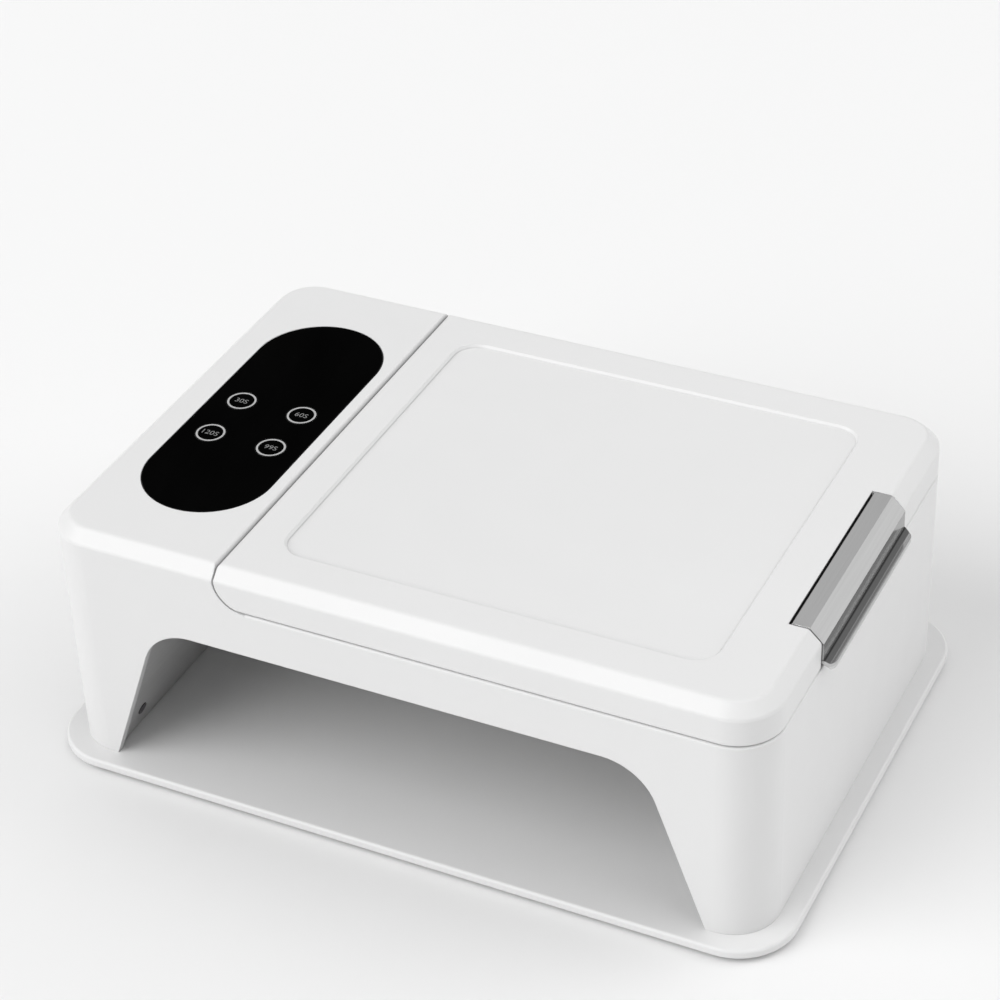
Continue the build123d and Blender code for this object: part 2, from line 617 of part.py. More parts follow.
with BuildPart() as power_jack:
    with BuildSketch(Plane.XY.offset(Z_PLATE + 13.62)):
        with Locations((JACK_X, 67.0)):
            Rectangle(9.6, 12.4)
    extrude(amount=9.6)
    with BuildSketch(at_y(CASE_D / 2 - 0.2)):
        with Locations((JACK_X, JACK_Z)):
            Circle(4.15)
    extrude(amount=5.0)
    with BuildSketch(at_y(CASE_D / 2)):
        with Locations((JACK_X, JACK_Z)):
            Circle(2.85)
            Circle(1.0, mode=Mode.SUBTRACT)
    extrude(amount=9.5, mode=Mode.SUBTRACT)
power_jack.part.label = "power_jack"
export_step(power_jack.part, "parts/power_jack.step")

# leads held inside the housing, straight runs joined by tangent arcs
CONTROL_ROUTE = [(-72, 50.05, Z_TOP - 8.8), (-72, 63.0, Z_TOP - 8.8), (-72, 63.0, Z_PLATE + 29),
                 (-52, 61.0, Z_PLATE + 29), (-52, 61.0, Z_PLATE + 13.65)]
with BuildPart() as control_lead:
    with BuildLine() as control_path:
        FilletPolyline(*CONTROL_ROUTE, radius=5.5)
    with BuildSketch(Plane(origin=CONTROL_ROUTE[0], z_dir=(0, 1, 0))):
        Circle(1.1)
    sweep()
control_lead.part.label = "control_lead"
export_step(control_lead.part, "parts/control_lead.step")

LED_ROUTE = [(6, 60.0, Z_PLATE + 13.65), (6, 60.0, Z_PLATE + 28), (14, 60.0, Z_PLATE + 42),
             (14, 60.0, LED_BOARD_Z - 0.05)]
with BuildPart() as led_lead:
    with BuildLine() as led_path:
        FilletPolyline(*LED_ROUTE, radius=7)
    with BuildSketch(Plane(origin=LED_ROUTE[0], z_dir=(0, 0, 1))):
        Circle(1.1)
    sweep()
led_lead.part.label = "led_lead"
export_step(led_lead.part, "parts/led_lead.step")

# ====================================================== hinge arms and rest pads
UX, UZ = 0.5736, -0.8192          # arm direction, down and to the right of the pin
with BuildPart() as hinge_arms:
    for ay in ARM_Y:
        with BuildSketch(at_y(ay + ARM_W / 2)):
            with BuildLine():
                Polyline(
                    (PIN_X - UZ * -1.9, PIN_Z + UX * -1.9),
                    (PIN_X - UZ * 1.9, PIN_Z + UX * 1.9),
                    (PIN_X - UZ * 1.9 + UX * 10.0, PIN_Z + UX * 1.9 + UZ * 10.0),
                    (PIN_X - UZ * -1.9 + UX * 10.0, PIN_Z + UX * -1.9 + UZ * 10.0),
                    close=True)
            make_face()
            with Locations((PIN_X, PIN_Z)):
                Circle(2.2)
        extrude(amount=ARM_W)
        with BuildSketch(Plane.XY.offset(Z_DECK)):
            with Locations((-39.4, ay)):
                RectangleRounded(6.0, ARM_W, 0.8)
        extrude(amount=1.3)
    with BuildSketch(Plane.XY.offset(Z_DECK)):
        Rectangle(300, 300)
    extrude(amount=-12, mode=Mode.SUBTRACT)
    with BuildSketch(at_y(80)):
        with Locations((PIN_X, PIN_Z)):
            Circle(HINGE_PIN_R + RUN_GAP)
    extrude(amount=160, mode=Mode.SUBTRACT)
    # pilot holes for the screws that come up through the deck
    with BuildSketch(Plane.XY.offset(Z_DECK)):
        with Locations((-39.4, -50), (-39.4, 50)):
            Circle(0.85)
    extrude(amount=2.6, mode=Mode.SUBTRACT)
hinge_arms.part.label = "hinge_arms"
export_step(hinge_arms.part, "parts/hinge_arms.step")

with BuildPart() as arm_screws:
    with BuildSketch(Plane.XY.offset(Z_DECK - DECK_T - 1.2)):
        with Locations((-39.4, -50), (-39.4, 50)):
            Circle(1.7)
    extrude(amount=1.18)
    with BuildSketch(Plane.XY.offset(Z_DECK - DECK_T - 0.1)):
        with Locations((-39.4, -50), (-39.4, 50)):
            Circle(0.8)
    extrude(amount=4.8)
arm_screws.part.label = "arm_screws"
export_step(arm_screws.part, "parts/arm_screws.step")

with BuildPart() as lid_rest_pads:
    with BuildSketch(Plane.XY.offset(Z_DECK - 0.88)):
        with Locations((105.2, 61), (105.2, -61), (32, 69.4), (32, -69.4)):
            Circle(2.5)
    extrude(amount=1.83)
    fillet(lid_rest_pads.edges().group_by(Axis.Z)[-1], radius=0.4)
lid_rest_pads.part.label = "lid_rest_pads"
export_step(lid_rest_pads.part, "parts/lid_rest_pads.step")

with BuildPart() as latch_catch:
    with BuildSketch(at_y(6.9)):
        with BuildLine():
            Polyline((108.2, 62), (109.4, 62), (109.4, Z_DECK - 1.6), (111.85, Z_DECK - 1.6),
                     (111.85, Z_DECK - 0.5), (108.2, Z_DECK - 0.5), close=True)
        make_face()
    extrude(amount=17.8)
latch_catch.part.label = "latch_catch"
export_step(latch_catch.part, "parts/latch_catch.step")

# ======================================================================= lid
POCKET_X = 102.3
with BuildPart() as lid_hollow:
    with BuildSketch(Plane.XY.offset(Z_SEAM - 2)):
        RectangleRounded(CASE_W - 2 * LID_WALL, CASE_D - 2 * LID_WALL, CASE_R - LID_WALL)
    extrude(amount=Z_TOP - LID_WALL - Z_SEAM + 2)
    chamfer(lid_hollow.faces().sort_by(Axis.Z)[-1].edges(), length=2.8)
    with BuildSketch(at_y(100)):
        with BuildLine():
            Polyline((PIN_X, PIN_Z - LID_R + 2.2), (PIN_X, Z_SEAM - 3), (130, Z_SEAM - 3),
                     (130, Z_TOP + 3), (LID_X + 2.2, Z_TOP + 3), (LID_X + 2.2, PIN_Z))
            CenterArc((PIN_X, PIN_Z), LID_R - 2.2, 180, 90)
        make_face()
    extrude(amount=200, mode=Mode.INTERSECT)
    # solid block left around the latch
    with BuildSketch(Plane.XY.offset(Z_SEAM - 5)):
        with Locations((98.6 + 20, (LATCH_Y0 + LATCH_Y1) / 2)):
            Rectangle(40, LATCH_Y1 - LATCH_Y0 + 6.0)
    extrude(amount=30, mode=Mode.SUBTRACT)

LID_BOSSES = [(-36.8, 24.0), (-36.8, -24.0), (102.6, 57.0), (102.6, -57.0)]
RIB_Y = [(a + s * (ARM_W / 2 + 2.1)) for a in ARM_Y for s in (-1, 1)]

with BuildPart() as hinge_ribs:
    add(lid_form.part)
    with BuildSketch(at_y(100)):
        with Locations(((LID_X + PIN_X + 3.4) / 2, (74.9 + Z_TOP - 1) / 2)):
            Rectangle(PIN_X + 3.4 - LID_X, Z_TOP - 1 - 74.9)
    extrude(amount=200, mode=Mode.INTERSECT)
    with BuildSketch(Plane.XY.offset(60)):
        with Locations(*[(PIN_X, y) for y in RIB_Y]):
            Rectangle(60, 3.0)
    extrude(amount=40, mode=Mode.INTERSECT)

with BuildPart() as lid_outer:
    add(lid_form.part)
    add(lid_hollow.part, mode=Mode.SUBTRACT)
    add(hinge_ribs.part)
    # shallow panel in the top
    with BuildSketch(Plane.XY.offset(Z_TOP)):
        with Locations(((RECESS[0] + RECESS[1]) / 2, (RECESS[2] + RECESS[3]) / 2)):
            RectangleRounded(RECESS[1] - RECESS[0], RECESS[3] - RECESS[2], RECESS_R)
    extrude(amount=-RECESS_DEPTH, taper=40, mode=Mode.SUBTRACT)
    # pocket that the latch sits in, open to the side
    with BuildSketch(Plane.XY.offset(Z_SEAM - 2)):
        with Locations((POCKET_X + 15, (LATCH_Y0 + LATCH_Y1) / 2)):
            Rectangle(30, LATCH_Y1 - LATCH_Y0 + 0.6)
    extrude(amount=30, mode=Mode.SUBTRACT)
    # slots for the hinge arms
    for ay in ARM_Y:
        with BuildSketch(at_y(ay + ARM_W / 2 + 0.45)):
            with Locations((PIN_X - 2, (70 + PIN_Z + 0.2) / 2)):
                Rectangle(20, PIN_Z + 0.2 - 70)
            # headroom left of the rod for the arm when the lid stands open
            with Locations((PIN_X - 6, (70 + PIN_Z + 1.5) / 2)):
                Rectangle(12, PIN_Z + 1.5 - 70)
            with Locations((PIN_X, PIN_Z)):
                Circle(2.5)
        extrude(amount=ARM_W + 0.9, mode=Mode.SUBTRACT)
    # screw bosses for the inner panel
    with BuildSketch(Plane.XY.offset(74.45)):
        with Locations(*LID_BOSSES):
            Circle(2.8)
    extrude(amount=Z_TOP - 1.4 - 74.45)
    with BuildSketch(Plane.XY.offset(74.45)):
        with Locations(*LID_BOSSES):
            Circle(1.05)
    extrude(amount=6.0, mode=Mode.SUBTRACT)
    # holes for the hinge rod and the latch pin
    with BuildSketch(at_y(58.6)):
        with Locations((PIN_X, PIN_Z)):
            Circle(HINGE_PIN_R + RUN_GAP)
    extrude(amount=117.2, mode=Mode.SUBTRACT)
    with BuildSketch(at_y(LATCH_Y1 + 2.2)):
        with Locations(LATCH_PIN):
            Circle(LATCH_PIN_R + RUN_GAP)
    extrude(amount=LATCH_Y1 - LATCH_Y0 + 4.4, mode=Mode.SUBTRACT)
lid_outer.part.label = "lid_outer"
export_step(lid_outer.part, "parts/lid_outer.step")

with BuildPart() as lid_inner:
    with BuildSketch(Plane.XY.offset(Z_SEAM + 0.4)):
        RectangleRounded(CASE_W - 2 * LID_WALL - 0.6, CASE_D - 2 * LID_WALL - 0.6, CASE_R - LID_WALL - 0.3)
        with Locations((-100, 0)):
            Rectangle(2 * (100 + PIN_X + 0.4), 200, mode=Mode.SUBTRACT)
        with Locations((98.3 + 10, (LATCH_Y0 + LATCH_Y1) / 2)):
            Rectangle(20, LATCH_Y1 - LATCH_Y0 + 6.6, mode=Mode.SUBTRACT)
        with Locations((-40, ARM_Y[0]), (-40, ARM_Y[1])):
            Rectangle(10.6, ARM_W + 1.2, mode=Mode.SUBTRACT)
    extrude(amount=1.8)
    # raised pan that gives the tray its headroom
    with BuildSketch(Plane.XY.offset(Z_SEAM + 0.4)):
        with Locations((31, 0)):
            RectangleRounded(128, 120, 8)
    extrude(amount=81.3 - Z_SEAM - 0.4)
    fillet(lid_inner.faces().sort_by(Axis.Z)[-1].edges(), radius=3.0)
    with BuildSketch(Plane.XY.offset(Z_SEAM + 0.4)):
        with Locations((31, 0)):
            RectangleRounded(124.8, 116.8, 6.4)
    extrude(amount=79.7 - Z_SEAM - 0.4, mode=Mode.SUBTRACT)
    # countersunk screw holes
    with BuildSketch(Plane.XY.offset(Z_SEAM)):
        with Locations(*LID_BOSSES):
            Circle(1.25)
    extrude(amount=5, mode=Mode.SUBTRACT)
    with BuildSketch(Plane.XY.offset(Z_SEAM)):
        with Locations(*LID_BOSSES):
            Circle(2.3)
    extrude(amount=1.35, mode=Mode.SUBTRACT)
lid_inner.part.label = "lid_inner"
export_step(lid_inner.part, "parts/lid_inner.step")

with BuildPart() as lid_screws:
    with BuildSketch(Plane.XY.offset(Z_SEAM + 0.45)):
        with Locations(*LID_BOSSES):
            Circle(2.15)
    extrude(amount=0.88)
    with BuildSketch(Plane.XY.offset(Z_SEAM + 1.2)):
        with Locations(*LID_BOSSES):
            Circle(1.0)
    extrude(amount=6.4)
    with BuildSketch(Plane.XY.offset(Z_SEAM + 0.45)):
        with Locations(*LID_BOSSES):
            Rectangle(2.4, 0.55)
            Rectangle(0.55, 2.4)
    extrude(amount=0.6, mode=Mode.SUBTRACT)
lid_screws.part.label = "lid_screws"
export_step(lid_screws.part, "parts/lid_screws.step")

with BuildPart() as hinge_rod:
    with BuildSketch(at_y(58.3)):
        with Locations((PIN_X, PIN_Z)):
            Circle(HINGE_PIN_R)
    extrude(amount=116.6)
    chamfer(hinge_rod.edges().filter_by(GeomType.CIRCLE), length=0.25)
hinge_rod.part.label = "hinge_rod"
export_step(hinge_rod.part, "parts/hinge_rod.step")

# ===================================================================== latch
LX, LZ = LATCH_PIN
with BuildPart() as latch_handle:
    with BuildSketch(at_y(LATCH_Y1)) as latch_section:
        with BuildLine():
            Polyline(
                (103.2, 84.7), (108.35, 84.7), (112.5, 80.55), (112.5, 75.0),
                (114.3, 73.8), (115.5, 73.8), (115.5, 71.9), (114.4, 71.9),
                (113.8, 72.7), (112.15, 73.8), (111.2, 74.43),
                (111.2, 80.0), (107.8, 83.4), (103.2, 83.4), close=True)
        make_face()
        fillet(latch_section.vertices().filter_by(
            lambda v: 108 < v.X < 115 and v.Z > 74.9), radius=0.35)
        # rounded rim along the lip's edge
        fillet(latch_section.vertices().filter_by(lambda v: v.X > 115 and v.Z > 73), radius=0.6)
        fillet(latch_section.vertices().filter_by(lambda v: v.X > 115 and v.Z < 73), radius=0.3)
    extrude(amount=LATCH_Y1 - LATCH_Y0)
    # rounded ends of the lip
    with BuildSketch(Plane.XY.offset(60)):
        with Locations((95.5, (LATCH_Y0 + LATCH_Y1) / 2)):
            RectangleRounded(40, LATCH_Y1 - LATCH_Y0, 3.2)
    extrude(amount=40, mode=Mode.INTERSECT)
    # knuckles on the pin
    for ky in (26.0, -20.0):
        with BuildSketch(at_y(ky)):
            with Locations((LX, LZ)):
                Circle(2.3)
        extrude(amount=10)
    # hook tail behind the lip
    with BuildSketch(at_y(4.6)):
        with BuildLine():
            Polyline((111.6, 74.6), (113.6, 74.2), (113.6, 69.4), (112.9, 68.7), (112.15, 69.5),
                     (112.15, 69.95), (112.35, 70.15), (112.35, 73.6), (111.6, 74.0), close=True)
        make_face()
    extrude(amount=13.2)
    with BuildSketch(at_y(LATCH_Y1 + 1)):
        with Locations((LX, LZ)):
            Circle(LATCH_PIN_R + RUN_GAP)
    extrude(amount=80, mode=Mode.SUBTRACT)
latch_handle.part.label = "latch_handle"
export_step(latch_handle.part, "parts/latch_handle.step")

with BuildPart() as latch_pin:
    with BuildSketch(at_y(LATCH_Y1 + 2.0)):
        with Locations((LX, LZ)):
            Circle(LATCH_PIN_R)
    extrude(amount=LATCH_Y1 - LATCH_Y0 + 4.0)
    chamfer(latch_pin.edges().filter_by(GeomType.CIRCLE), length=0.2)
latch_pin.part.label = "latch_pin"
export_step(latch_pin.part, "parts/latch_pin.step")

with BuildPart() as latch_spring:
    with BuildLine() as coil:
        Helix(pitch=0.75, height=7.5, radius=1.5, center=(LX, -14.0, LZ), direction=(0, 1, 0))
    with BuildSketch(Plane(origin=coil.line @ 0, z_dir=coil.line % 0)):
        Circle(0.25)
    sweep(is_frenet=True)
latch_spring.part.label = "latch_spring"
export_step(latch_spring.part, "parts/latch_spring.step")

print("lead bend radii mm:", 5.5, 7.0)
print("levels mm: deck", Z_DECK, "seam", Z_SEAM, "pin", (PIN_X, PIN_Z), "top", Z_TOP, "lid edge radius", LID_R)
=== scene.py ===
import json
import math

import bmesh
import bpy
from mathutils import Matrix, Vector


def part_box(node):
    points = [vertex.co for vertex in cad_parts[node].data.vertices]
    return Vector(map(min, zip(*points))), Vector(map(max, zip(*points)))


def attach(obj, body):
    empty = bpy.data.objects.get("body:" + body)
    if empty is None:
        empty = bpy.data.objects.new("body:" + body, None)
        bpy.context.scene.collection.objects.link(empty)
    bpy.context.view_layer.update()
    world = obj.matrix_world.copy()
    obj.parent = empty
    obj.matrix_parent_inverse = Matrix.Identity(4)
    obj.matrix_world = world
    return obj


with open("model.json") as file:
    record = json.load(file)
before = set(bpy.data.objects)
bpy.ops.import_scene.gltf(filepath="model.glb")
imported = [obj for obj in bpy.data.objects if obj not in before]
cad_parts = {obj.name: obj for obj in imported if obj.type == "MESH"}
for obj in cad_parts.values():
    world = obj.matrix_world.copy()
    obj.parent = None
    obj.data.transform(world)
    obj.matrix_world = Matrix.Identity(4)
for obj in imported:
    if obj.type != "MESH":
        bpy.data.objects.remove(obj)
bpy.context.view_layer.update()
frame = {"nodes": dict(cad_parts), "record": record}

NODES = frame["nodes"]
SLOT_OF = {p["node"]: p["material_slot"] for p in frame["record"]["subparts"]}
scene = bpy.context.scene


# ------------------------------------------------------------------- camera
def studio_camera():
    """A long lens from the front right and above, turned a little about its own axis."""
    az, el, roll = math.radians(27.07), math.radians(35.20), math.radians(-2.48)
    back = Vector((math.sin(az) * math.cos(el), -math.cos(az) * math.cos(el), math.sin(el)))
    right = Vector((math.cos(az), math.sin(az), 0.0))
    up = back.cross(right)
    r = math.cos(roll) * right + math.sin(roll) * up
    u = -math.sin(roll) * right + math.cos(roll) * up
    pos = back * 0.8631 + right * -0.00123 + up * 0.06063
    data = bpy.data.cameras.new("camera")
    data.sensor_width = 36.0
    data.lens = 100.357
    data.clip_start = 0.02
    data.clip_end = 60.0
    cam = bpy.data.objects.new("camera", data)
    scene.collection.objects.link(cam)
    cam.matrix_world = Matrix((
        (r.x, u.x, back.x, pos.x),
        (r.y, u.y, back.y, pos.y),
        (r.z, u.z, back.z, pos.z),
        (0, 0, 0, 1)))
    scene.camera = cam


# ---------------------------------------------------------------- materials
class Look:
    """One node material on a Principled shader, in object coordinates, in metres."""

    def __init__(self, name):
        self.mat = bpy.data.materials.new(name)
        self.mat.use_nodes = True
        self.tree = self.mat.node_tree
        self.tree.nodes.clear()
        self.out = self.add("ShaderNodeOutputMaterial")
        self.bsdf = self.add("ShaderNodeBsdfPrincipled")
        self.tree.links.new(self.bsdf.outputs[0], self.out.inputs[0])
        self.place = self.add("ShaderNodeTexCoord").outputs["Object"]
        self.bumps = []
        self.soft = None

    def add(self, kind, **props):
        n = self.tree.nodes.new(kind)
        for k, v in props.items():
            setattr(n, k, v)
        return n

    def put(self, value, socket):
        if isinstance(value, bpy.types.NodeSocket):
            self.tree.links.new(value, socket)
        else:
            socket.default_value = value

    def shader(self, **values):
        """Sets numbers on the shader's own sockets."""
        for k, v in values.items():
            self.bsdf.inputs[k.replace("_", " ")].default_value = v

    def scaled(self, stretch, shift=(0, 0, 0)):
        m = self.add("ShaderNodeMapping")
        m.inputs["Scale"].default_value = stretch
        m.inputs["Location"].default_value = shift
        self.tree.links.new(self.place, m.inputs["Vector"])
        return m.outputs[0]

    def noise(self, scale, detail=2.0, rough=0.5, stretch=None, warp=0.0, shift=(0, 0, 0)):
        n = self.add("ShaderNodeTexNoise")
        n.inputs["Scale"].default_value = scale
        n.inputs["Detail"].default_value = detail
        n.inputs["Roughness"].default_value = rough
        n.inputs["Distortion"].default_value = warp
        where = self.scaled(stretch or (1, 1, 1), shift) if (stretch or any(shift)) else self.place
        self.tree.links.new(where, n.inputs["Vector"])
        return n.outputs["Fac"]

    def cells(self, scale, feature="F1", stretch=None):
        n = self.add("ShaderNodeTexVoronoi", feature=feature)
        n.inputs["Scale"].default_value = scale
        self.tree.links.new(self.scaled(stretch) if stretch else self.place, n.inputs["Vector"])
        return n.outputs["Distance"]

    def axis(self, index):
        s = self.add("ShaderNodeSeparateXYZ")
        self.tree.links.new(self.place, s.inputs[0])
        return s.outputs[index]

    def span(self, value, low, high, to_low, to_high, smooth=False):
        m = self.add("ShaderNodeMapRange", clamp=True)
        if smooth:
            m.interpolation_type = "SMOOTHSTEP"
        for i, v in enumerate((value, low, high, to_low, to_high)):
            self.put(v, m.inputs[i])
        return m.outputs[0]

    def sum(self, op, a, b):
        m = self.add("ShaderNodeMath", operation=op)
        self.put(a, m.inputs[0])
        self.put(b, m.inputs[1])
        return m.outputs[0]

    def mix(self, fac, a, b, kind="MIX"):
        m = self.add("ShaderNodeMix", data_type="RGBA", blend_type=kind)
        self.put(fac, m.inputs[0])
        self.put(a if isinstance(a, bpy.types.NodeSocket) else (*a, 1.0), m.inputs[6])
        self.put(b if isinstance(b, bpy.types.NodeSocket) else (*b, 1.0), m.inputs[7])
        return m.outputs[2]

    def rounded(self, radius, samples=4):
        """Edges shaded as if broken by this radius."""
        b = self.add("ShaderNodeBevel", samples=samples)
        b.inputs["Radius"].default_value = radius
        self.soft = b.outputs[0]

    def edges(self, sharp=0.30):
        """1 along the broken edges, 0 on the flats."""
        g = self.add("ShaderNodeNewGeometry")
        d = self.add("ShaderNodeVectorMath", operation="DOT_PRODUCT")
        self.tree.links.new(g.outputs["Normal"], d.inputs[0])
        self.tree.links.new(self.soft, d.inputs[1])
        return self.span(self.sum("SUBTRACT", 1.0, d.outputs["Value"]), 0.01, sharp, 0.0, 1.0)

    def bump(self, height, distance, strength=1.0):
        self.bumps.append((height, distance, strength))

    def finish(self, colour, rough):
        self.put(colour, self.bsdf.inputs["Base Color"])
        self.put(rough, self.bsdf.inputs["Roughness"])
        normal = self.soft
        for height, distance, strength in self.bumps:
            b = self.add("ShaderNodeBump")
            b.inputs["Strength"].default_value = strength
            b.inputs["Distance"].default_value = distance
            self.tree.links.new(height, b.inputs["Height"])
            if normal is not None:
                self.tree.links.new(normal, b.inputs["Normal"])
            normal = b.outputs[0]
        if normal is not None:
            self.tree.links.new(normal, self.bsdf.inputs["Normal"])
        return self.mat


def grey(v):
    return (v, v, v)


def painted_panel_and_seam_shade(k):
    """Painted shade at the foot of the lid's shallow panel, heaviest on its left wall, and painted shade on the strip's
    edge in the seam left of the lid, both a little uneven.
    """
    x, z = k.axis(0), k.axis(2)
    y = k.sum("ABSOLUTE", k.axis(1), 0.0)
    # Painted shade along the foot of the panel's sloping walls, heaviest on the left wall that faces away from the key
    # light.
    foot = k.sum("MULTIPLY", k.span(z, 0.08361, 0.08364, 0.0, 1.0), k.span(z, 0.08378, 0.08400, 1.0, 0.0))
    inside = k.sum("MULTIPLY", k.span(x, -0.0440, -0.0438, 0.0, 1.0), k.span(x, 0.0914, 0.0916, 1.0, 0.0))
    inside = k.sum("MULTIPLY", inside, k.span(y, 0.0616, 0.0618, 1.0, 0.0))
    foot = k.sum("MULTIPLY", k.sum("MULTIPLY", foot, inside), k.span(x, -0.0420, -0.0405, 0.60, 0.22))
    # Painted shade on the strip's rounded edge in the gap between the strip and the lid.
    seam = k.sum("MULTIPLY", k.span(x, -0.0553, -0.0547, 0.0, 1.0), k.span(x, -0.0541, -0.0539, 1.0, 0.0))
    seam = k.sum("MULTIPLY", seam, k.sum("MULTIPLY", k.span(z, 0.0805, 0.0815, 0.0, 1.0), k.span(y, 0.0735, 0.0745, 1.0, 0.0)))
    # Here dust holds only painted shade, made a little uneven below.
    dust = k.sum("MAXIMUM", foot, k.sum("MULTIPLY", seam, 0.42))
    return k.sum("MULTIPLY", dust, k.span(k.noise(180.0, 2.0, 0.5), 0.3, 0.7, 0.85, 1.0))


def white_shell(name, tone, rough, break_r, grain, painted_seam_shade=False):
    """Satin white moulded plastic: spark-eroded grain, faint flow tone, polished edges; on request, painted shade at
    the foot of the lid's panel and in the seam left of the lid.
    """
    k = Look(name)
    k.rounded(break_r)
    edge = k.edges()
    flow = k.noise(11.0, 3.0, 0.55, warp=0.6)
    cloud = k.noise(70.0, 2.0, 0.5)
    fine = k.noise(2300.0, 1.0, 0.6)
    peel = k.noise(260.0, 2.0, 0.5)
    colour = k.mix(k.span(flow, 0.35, 0.65, 0.0, 1.0), grey(tone * 0.988), grey(tone * 1.004))
    colour = k.mix(k.span(cloud, 0.3, 0.7, 0.0, 0.35), colour, grey(tone * 0.982))
    colour = k.mix(k.span(fine, 0.62, 0.80, 0.0, 0.20), colour, grey(tone * 0.93))
    colour = k.mix(k.sum("MULTIPLY", edge, 0.5), colour, grey(min(0.93, tone * 1.06)))
    # Painted shade at the foot of the lid's panel and in the seam left of the lid.
    if painted_seam_shade:
        colour = k.mix(painted_panel_and_seam_shade(k), colour, grey(tone * 0.45))
    wear = k.span(k.noise(40.0, 4.0, 0.6, stretch=(1.0, 2.5, 1.0)), 0.40, 0.75, 0.0, 1.0)
    r = k.span(wear, 0.0, 1.0, rough + 0.03, rough - 0.04)
    r = k.sum("SUBTRACT", r, k.sum("MULTIPLY", edge, 0.07))
    k.bump(fine, grain, 0.55)
    k.bump(peel, 6e-6, 0.8)
    k.shader(IOR=1.50, Specular_IOR_Level=0.42)
    return k.finish(colour, r)


def matte_plastic(name, colour_a, colour_b, rough, break_r=0.0002, grain=7e-6, grain_scale=1500.0):
    """Matte moulded plastic with an etched texture."""
    k = Look(name)
    k.rounded(break_r)
    edge = k.edges()
    etched = k.noise(grain_scale, 2.0, 0.6)
    cloud = k.noise(45.0, 3.0, 0.5)
    colour = k.mix(k.span(cloud, 0.3, 0.7, 0.0, 1.0), colour_a, colour_b)
    colour = k.mix(k.span(etched, 0.55, 0.8, 0.0, 0.25), colour, tuple(c * 0.86 for c in colour_a))
    colour = k.mix(k.sum("MULTIPLY", edge, 0.35), colour, tuple(min(0.95, c * 1.12 + 0.01) for c in colour_a))
    r = k.span(etched, 0.3, 0.7, rough - 0.05, rough + 0.06)
    k.bump(etched, grain, 0.8)
    k.shader(IOR=1.50, Specular_IOR_Level=0.40)
    return k.finish(colour, r)


def reflector(name):
    """Satin silver-grey liner: drawn lengthwise, a little lighter where it has been wiped."""
    k = Look(name)
    k.rounded(0.00025)
    edge = k.edges()
    drawn = k.noise(420.0, 3.0, 0.6, stretch=(1.0, 0.05, 1.0))
    cloud = k.noise(24.0, 3.0, 0.5, warp=0.4)
    fine = k.noise(1800.0, 1.0, 0.5)
    colour = k.mix(k.span(drawn, 0.3, 0.7, 0.0, 1.0), grey(0.500), grey(0.555))
    colour = k.mix(k.span(cloud, 0.35, 0.7, 0.0, 0.4), colour, grey(0.58))
    colour = k.mix(k.sum("MULTIPLY", edge, 0.5), colour, grey(0.70))
    r = k.span(cloud, 0.3, 0.7, 0.30, 0.42)
    k.bump(drawn, 5e-6, 0.5)
    k.bump(fine, 4e-6, 0.5)
    k.shader(Metallic=0.35, IOR=1.5, Specular_IOR_Level=0.5)
    return k.finish(colour, r)


def gloss_black(name, break_r=0.00018):
    """High-gloss black acrylic with faint wipe marks and a few dust specks."""
    k = Look(name)
    k.rounded(break_r)
    edge = k.edges()
    smear = k.noise(34.0, 4.0, 0.55, stretch=(1.0, 0.45, 1.0), warp=1.2)
    dust = k.cells(620.0)
    hair = k.noise(900.0, 1.0, 0.5, stretch=(1.0, 0.12, 1.0))
    speck = k.span(dust, 0.0, 0.075, 1.0, 0.0)
    colour = k.mix(k.span(smear, 0.3, 0.7, 0.0, 1.0), grey(0.0006), grey(0.0014))
    colour = k.mix(k.sum("MULTIPLY", speck, 0.02), colour, grey(0.25))
    colour = k.mix(k.sum("MULTIPLY", edge, 0.12), colour, grey(0.10))
    r = k.span(smear, 0.42, 0.72, 0.03, 0.10)
    r = k.sum("ADD", r, k.sum("MULTIPLY", speck, 0.25))
    k.bump(hair, 8e-7, 0.4)
    k.bump(k.noise(110.0, 1.0, 0.5), 5e-6, 0.6)
    k.shader(IOR=1.46, Specular_IOR_Level=0.32)
    return k.finish(colour, r)


def printed_ink(name, tone):
    """Screen-printed ink, a little uneven, on black."""
    k = Look(name)
    mottle = k.noise(2600.0, 2.0, 0.6)
    thin = k.noise(500.0, 2.0, 0.5)
    colour = k.mix(k.span(mottle, 0.35, 0.75, 0.0, 1.0), grey(tone), grey(tone * 0.83))
    colour = k.mix(k.span(thin, 0.55, 0.8, 0.0, 0.5), colour, grey(tone * 0.64))
    k.bump(mottle, 2e-6, 0.6)
    k.shader(IOR=1.45, Specular_IOR_Level=0.35)
    return k.finish(colour, k.span(mottle, 0.3, 0.7, 0.38, 0.52))


